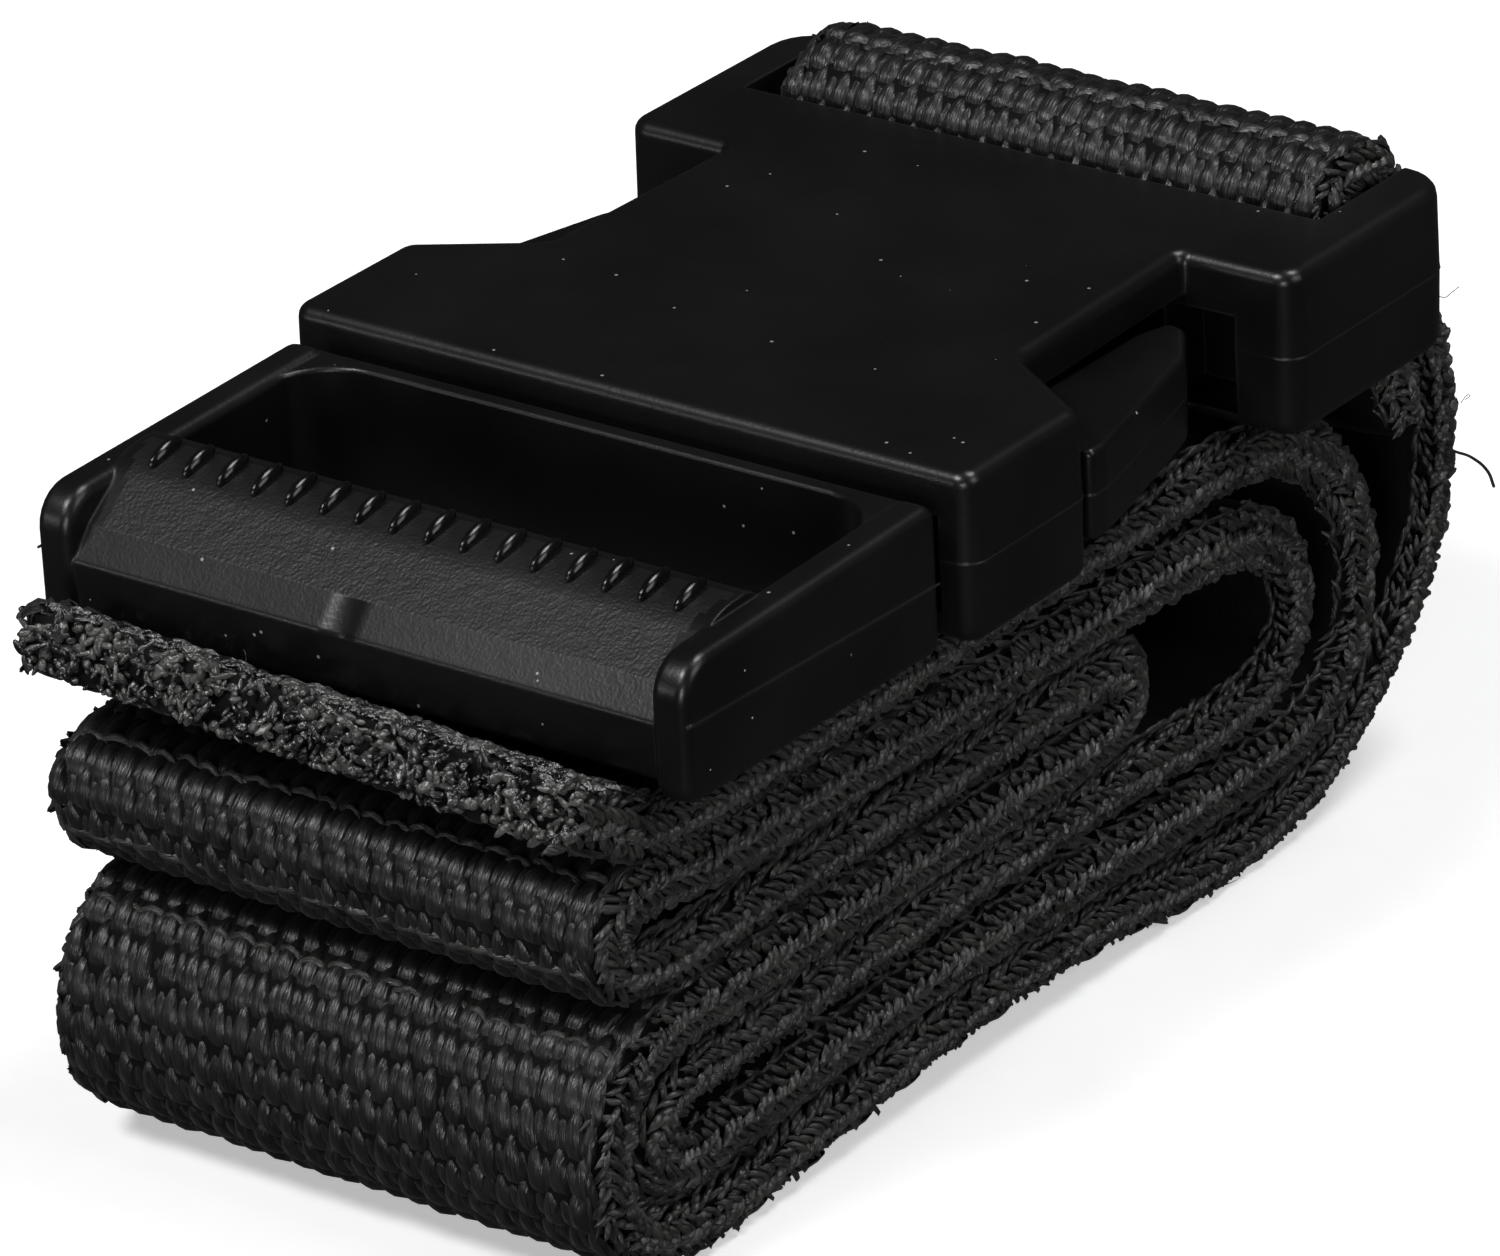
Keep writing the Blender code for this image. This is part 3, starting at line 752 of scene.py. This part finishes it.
def beads(name, count):
    origins = np.column_stack([random.uniform(-BODY_EDGE, BODY_EDGE, count),
                               random.normal(-0.15, 0.42, count),
                               random.uniform(-BODY_HALF, BODY_HALF + 0.2, count)])
    sizes = random.uniform(0.28, 0.8, (count, 3)) * random.uniform(0.7, 1.25, (count, 1))
    turned = [np.linalg.qr(random.normal(size=(3, 3)))[0] for _ in range(count)]
    along, across, out = (np.array([turn[:, i] for turn in turned]) * sizes[:, i:i + 1] for i in range(3))
    return lay(name, bead(), origins, along * 2.2, across, out)


def tufts(name, count):
    """Short ends of singed yarn on the upper face, just behind the beads."""
    origins = np.column_stack([random.uniform(-BODY_EDGE, BODY_EDGE, count), random.uniform(0.2, 6.5, count),
                               BODY_HALF + random.normal(0.34, 0.1, count)])
    length, angle = random.normal(1.7, 0.3, count), random.normal(0.45, 0.35, count)
    along = np.column_stack([length * np.cos(angle), length * np.sin(angle), random.normal(0, 0.2, count)])
    across = np.column_stack([-0.42 * np.sin(angle), 0.42 * np.cos(angle), np.zeros(count)])
    out = np.column_stack([np.zeros(count), np.zeros(count), random.normal(0.36, 0.04, count)])
    return lay(name, STRAND, origins, along, across, out)


MELTED = melted_plastic()
mesh = beads("melted_end", 1000)
place_piece("melted_end", mesh, "socket", "webbing", MELTED)
place_piece("singed_tufts", tufts("singed_tufts", 420), "socket", "webbing", MELTED)
print("melted end:", len(mesh.polygons) * 2, "triangles")

# %% [markdown]
# Two rows of stitches behind the bar close the belt's loop. They are sewn with a thicker thread, so
# each stitch is a plump little arc that sinks at both ends where the needle went through.

# %% The seam, and a few loose fibres
def stitches(name):
    low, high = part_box(name)
    count = 16
    shape = bmesh.new()
    step = (high.x - low.x) / count
    for index in range(count):
        ball = bmesh.ops.create_uvsphere(shape, u_segments=10, v_segments=8, radius=1.0)["verts"]
        bmesh.ops.scale(shape, vec=(step * 0.56, (high.y - low.y) * 0.5, (high.z - low.z) * 0.5), verts=ball)
        bmesh.ops.rotate(shape, cent=(0, 0, 0), matrix=Matrix.Rotation(radians(random.normal(4, 3)), 3, "Y"),
                         verts=ball)
        bmesh.ops.translate(shape, vec=(low.x + step * (index + 0.5), (low.y + high.y) / 2,
                                        (low.z + high.z) / 2), verts=ball)
    bmesh.ops.recalc_face_normals(shape, faces=shape.faces)
    mesh = bpy.data.meshes.new(name + "_stitches")
    shape.to_mesh(mesh)
    shape.free()
    mesh.shade_smooth()
    mesh.uv_layers.new(name="weave")
    return place_piece(name + "_stitches", mesh, "socket", "thread", THREAD, name)


def fibres(name, paths, radius):
    """Thin round threads along paths in the drawing's millimetres, as one mesh."""
    curve = bpy.data.curves.new(name, "CURVE")
    curve.dimensions = "3D"
    curve.bevel_depth = radius * MM
    curve.bevel_resolution = 1
    curve.resolution_u = 6
    for path in paths:
        spline = curve.splines.new("BEZIER")
        spline.bezier_points.add(len(path) - 1)
        for knot, place in zip(spline.bezier_points, path):
            knot.co = TO_FRAME @ Vector(place)
            knot.handle_left_type = knot.handle_right_type = "AUTO"
    drawn = bpy.data.objects.new(name, curve)
    bpy.context.scene.collection.objects.link(drawn)
    mesh = bpy.data.meshes.new_from_object(drawn.evaluated_get(bpy.context.evaluated_depsgraph_get()))
    bpy.data.objects.remove(drawn)
    mesh.name = name
    mesh.shade_smooth()
    if not mesh.uv_layers:
        mesh.uv_layers.new(name="weave")
    mesh.uv_layers[0].name = "weave"
    return mesh


for name in ("seam_lower", "seam_upper"):
    stitches(name)
loose = [[(25.3, 69.6, -25.6), (25.6, 71.4, -26.9), (25.5, 74.2, -28.6), (25.6, 76.3, -30.6),
          (25.5, 77.3, -32.3)]]
mesh = fibres("loose_thread", loose, 0.13)
place_piece("loose_thread", mesh, "socket", "webbing", THREAD)
FUZZ, FUZZ_AT_END = 70, 34
fuzz = []
for index in range(FUZZ):
    at_end = index < FUZZ_AT_END
    run = random.uniform(0.0, 3.0) if at_end else random.uniform(0.0, BELT_LENGTH - 10.0)
    x = random.uniform(-25.0, 25.0) if at_end else random.choice([-25.6, 25.6])
    above = random.uniform(-2.2, 2.4)
    steps = random.normal(0, 0.45, (3, 3))
    steps[:, 0] += 0.0 if at_end else 0.12 * np.sign(x)
    flat = np.array([x, run, above]) + np.vstack([np.zeros(3), np.cumsum(steps, axis=0)])
    fuzz.append([Vector(point) for point in fold(flat)])
place_piece("fuzz", fibres("fuzz", fuzz, 0.035), "socket", "webbing", THREAD)
print("seams, loose thread and", len(fuzz), "loose fibres")

# %% [markdown]
# Now the two mouldings. The CAD solids have the right shape but flat little facets, so each gets a
# finer twin. The twin of the socket starts as one rounded slab, and then the mouth, the two side
# windows and the belt's opening are cut out with Booleans, the way slides in the mould leave them.
# Weighted normals keep the big flat faces flat right up to their rounded edges.

# %% Small tools for mouldings
def box_between(low, high):
    shape = bmesh.new()
    bmesh.ops.create_cube(shape, size=1.0)
    size = Vector(high) - Vector(low)
    bmesh.ops.scale(shape, vec=size, verts=shape.verts)
    bmesh.ops.translate(shape, vec=(Vector(high) + Vector(low)) / 2, verts=shape.verts)
    return shape


def slab(corners, low, high, edge, side=False, **more):
    shape = bmesh.new()
    stack(shape, corners, edge_levels(low, high, edge, **more), side)
    return shape


def in_frame(name, *shapes):
    """One mesh from shapes of the drawing, in the part's frame."""
    whole = bmesh.new()
    for shape in shapes:
        bmesh.ops.recalc_face_normals(shape, faces=shape.faces)
        part = bpy.data.meshes.new(name + "_part")
        shape.to_mesh(part)
        shape.free()
        whole.from_mesh(part)
        bpy.data.meshes.remove(part)
    whole.transform(TO_FRAME)
    mesh = bpy.data.meshes.new(name)
    whole.to_mesh(mesh)
    whole.free()
    return mesh


def settled(name, mesh, *steps):
    """The mesh after modifiers, each given as (type, settings)."""
    made = bpy.data.objects.new(name, mesh)
    bpy.context.scene.collection.objects.link(made)
    for kind, settings in steps:
        modifier = made.modifiers.new(kind.lower(), kind)
        for setting, value in settings.items():
            setattr(modifier, setting, value)
    graph = bpy.context.evaluated_depsgraph_get()
    result = bpy.data.meshes.new_from_object(made.evaluated_get(graph), preserve_all_data_layers=True,
                                             depsgraph=graph)
    result.name = name
    bpy.data.objects.remove(made)
    return result


def flat_and_round(name, mesh, angle=32):
    """Smooth shading that stays flat on the large faces."""
    mesh.shade_smooth()
    mesh.set_sharp_from_angle(angle=radians(angle))
    return settled(name, mesh, ("WEIGHTED_NORMAL", {"keep_sharp": True, "weight": 100}))


def carved(name, base, *steps):
    """The base mesh with others cut from it (DIFFERENCE) or joined to it (UNION)."""
    helpers = []
    for operation, shape in steps:
        bmesh.ops.triangulate(shape, faces=[face for face in shape.faces if len(face.verts) > 4],
                              ngon_method="BEAUTY")
        helper = bpy.data.objects.new(name + "_tool", in_frame(name + "_tool", shape))
        bpy.context.scene.collection.objects.link(helper)
        helpers.append((operation, helper))
    booleans = [("BOOLEAN", {"operation": operation, "solver": "EXACT", "object": helper})
                for operation, helper in helpers]
    bpy.context.view_layer.update()
    mesh = settled(name, base, *booleans)
    for _, helper in helpers:
        bpy.data.objects.remove(helper)
    return flat_and_round(name, mesh)


# %% [markdown]
# The socket is carved in the order a reader would take it apart: the rear heel, the mouth, the side
# windows, the arms' pockets, and last the belt's opening. The bar is added at the end, because
# anything cut after it would cut it too.

# %% The socket
WALL_END, WAIST, BLOCK_FRONT, REAR = 14.8, 21.8, 41.5, 64.5
PARTING = -7.0
socket_corners = mirrored([
    (HALF_WIDTH, 0, 1.7), (HALF_WIDTH, WALL_END - 0.6, 1.8), (WAIST, 20.0, 1.8),
    (WAIST - 0.6, BLOCK_FRONT - 0.03, 0.5), (HALF_WIDTH, BLOCK_FRONT, 2.0), (HALF_WIDTH, REAR, 4.2),
])
socket_shape = slab(socket_corners, -DEPTH, 0.0, 1.15, line=PARTING, draft=0.12, flash=0.04)
bmesh.ops.triangulate(socket_shape, faces=[face for face in socket_shape.faces if len(face.verts) > 4],
                      ngon_method="BEAUTY")
mouth = slab(mirrored([(28.0, -2, 0), (28.0, 19.8, 0)]), -11.2, -3.6, 0.0)
windows = box_between((-33, WALL_END, -11.4), (33, BLOCK_FRONT, -3.4))
POCKET_X, POCKET_HALF = 22.6, 3.1
pockets = [box_between((side * POCKET_X - POCKET_HALF, BLOCK_FRONT - 1, -12.2),
                       (side * POCKET_X + POCKET_HALF, BLOCK_FRONT + 5, -4.3)) for side in (-1, 1)]
belt_opening = slab(mirrored([(26.7, 51.6, 0.4), (26.7, REAR + 5, 0)]), -20.0, 5.0, 0.0)
bar = slab([(57.4, -11.4, 1.6), (61.6, -11.4, 1.6), (61.6, -2.0, 1.6), (57.4, -2.0, 1.6)],
           -27.7, 27.7, 0.0, side=True)
heel = slab([(56.0, -16.0, 0), (68.0, -16.0, 0), (68.0, -6.5, 0), (REAR + 0.1, -6.5, 0),
             (REAR + 0.1, -DEPTH - 0.05, 5.5), (56.0, -DEPTH - 0.05, 0)], -33.0, 33.0, 0.0, side=True)
socket_mesh = carved("socket_moulding", in_frame("socket_slab", socket_shape), ("DIFFERENCE", heel),
                     ("DIFFERENCE", mouth), ("DIFFERENCE", windows), ("DIFFERENCE", pockets[0]),
                     ("DIFFERENCE", pockets[1]), ("DIFFERENCE", belt_opening), ("UNION", bar))
place_piece("socket_moulding", socket_mesh, "socket", "moulding", SATIN_ACETAL, "socket")
print("socket:", len(socket_mesh.polygons), "faces")

# %% [markdown]
# The plug is a frame: two rails, a rear bar and a ridged grip across the front. All of it is one
# moulding, but its parts meet at sharp inside corners, so they can simply run into each other. The
# grip is drawn in section and stretched across, in steps fine enough to press the gate mark into
# its lit front edge, where the plastic was once injected.

# %% The plug
RAIL_OUT, RAIL_IN = 29.2, 26.0
rail_corners = [(-31.8, -13.1, 1.6), (-1.5, -13.3, 1.1), (-1.5, -1.6, 1.3), (-31.8, -2.2, 3.2)]
rails = [slab(rail_corners, low, high, 0.95, side=True)
         for low, high in ((RAIL_IN, RAIL_OUT), (-RAIL_OUT, -RAIL_IN))]
base_half = mirrored([(RAIL_IN + 1.6, -11.0, 0), (RAIL_IN + 0.3, -11.0, 0), (RAIL_IN + 0.3, -3.0, 5.5)])[::-1]
plug_base = slab(base_half + [(RAIL_IN + 1.6, -1.6, 0), (-RAIL_IN - 1.6, -1.6, 0)], -12.7, -2.05, 0.35)
neck = box_between((-27.2, -2.5, -11.0), (27.2, 0.0, -4.2))
shelf = box_between((-22.4, -2.5, -11.0), (22.4, 3.2, -4.2))
tongue = slab(mirrored([(6.2, 2.5, 0.5), (5.2, 27, 2.0)]), -10.2, -4.6, 0.4)

GRIP = [(-31.0, -12.0, 0.6), (-17.3, -12.0, 1.0), (-17.3, -5.0, 2.4), (-20.2, -1.2, 2.6),
        (-24.6, -1.45, 6.5), (-29.45, -5.05, 0.5), (-31.4, -7.3, 0.75)]
grip = bmesh.new()
stack(grip, GRIP, [(x, 0.0) for x in np.linspace(-26.8, 26.8, 108)], side=True)
for vert in grip.verts:
    x, y, z = vert.co
    if y < -28.5 and z > -9.0:
        near = max(0.0, 1.0 - ((x + 1.8) / 1.3) ** 2) * max(0.0, 1.0 - ((z + 7.1) / 1.1) ** 2)
        vert.co.y += 0.42 * near
        vert.co.z -= 0.12 * near

ridges = bmesh.new()
RIDGES, RIDGE_SPAN = 16, 47.2
for index in range(RIDGES):
    ball = bmesh.ops.create_uvsphere(ridges, u_segments=14, v_segments=10, radius=1.0)["verts"]
    bmesh.ops.scale(ridges, vec=(0.56, 1.9, 0.80), verts=ball)
    bmesh.ops.rotate(ridges, cent=(0, 0, 0), matrix=Matrix.Rotation(radians(16), 3, "X"), verts=ball)
    bmesh.ops.translate(ridges, vec=(RIDGE_SPAN * (index / (RIDGES - 1) - 0.5), -23.3, -1.32), verts=ball)

lines = []
for side in (-1, 1):
    line_bar = box_between((-0.09, -15.0, -0.09), (0.09, 15.0, 0.09))
    for degrees, axis in ((45, "Y"), (-2.1, "X")):
        bmesh.ops.rotate(line_bar, cent=(0, 0, 0), matrix=Matrix.Rotation(radians(degrees), 3, axis),
                         verts=line_bar.verts)
    bmesh.ops.translate(line_bar, vec=(side * (RAIL_OUT - 0.04), -16.6, -7.35), verts=line_bar.verts)
    lines.append(line_bar)

plug_mesh = in_frame("plug_moulding", *rails, plug_base, neck, shelf, tongue, grip, *lines)
plug_mesh = flat_and_round("plug_moulding", plug_mesh)
place_piece("plug_moulding", plug_mesh, "plug", "moulding", SATIN_ACETAL, "plug")
plug_mesh.materials.append(GRAINED_ACETAL)
for polygon in plug_mesh.polygons:
    x, y, z = (TO_FRAME.inverted() @ polygon.center)
    if abs(x) < 25.4 + 0.3 * (y + 25.0) and -29.5 < y < -21.4 and z > -5.3 and polygon.normal.z > 0.2:
        polygon.material_index = 1
print("plug:", len(plug_mesh.polygons), "faces")

# The webbing polishes the crests of the ridges, so they are a piece with a smoother finish.
ridges_mesh = flat_and_round("grip_ridges", in_frame("grip_ridges", ridges))
place_piece("grip_ridges", ridges_mesh, "plug", "moulding", POLISHED_ACETAL)
print("ridges:", len(ridges_mesh.polygons), "faces")

# %% [markdown]
# The two arms are part of the plug, but they bend, so each is a piece of its own that turns at its
# root. The belly of the arm is the button a thumb presses, flush with the buckle's side.

# %% The arms
ARM = [(24.4, 0.5, 0.2), (26.0, 0.5, 0.2), (27.1, 2.8, 1.5), (27.1, 15.1, 0.6), (30.9, 15.1, 0.6),
       (30.9, 17.0, 2.0), (29.6, 23.0, 14.0), (26.9, 33.2, 4.0), (24.4, 37.0, 1.6), (22.6, 37.6, 0.9),
       (21.6, 34.5, 2.0), (21.4, 20.0, 4.0), (23.1, 13.5, 3.0), (23.1, 2.8, 1.5)]
for name, side in (("arm_left", -1), ("arm_right", 1)):
    shape = slab(ARM, -11.0, -3.8, 0.55, line=-7.4, flash=0.03)
    if side < 0:
        bmesh.ops.scale(shape, vec=(-1, 1, 1), verts=shape.verts)
    mesh = flat_and_round(name + "_moulding", in_frame(name + "_moulding", shape))
    place_piece(name + "_moulding", mesh, name, "moulding", SATIN_ACETAL, name)
    print(name, len(mesh.polygons), "faces")
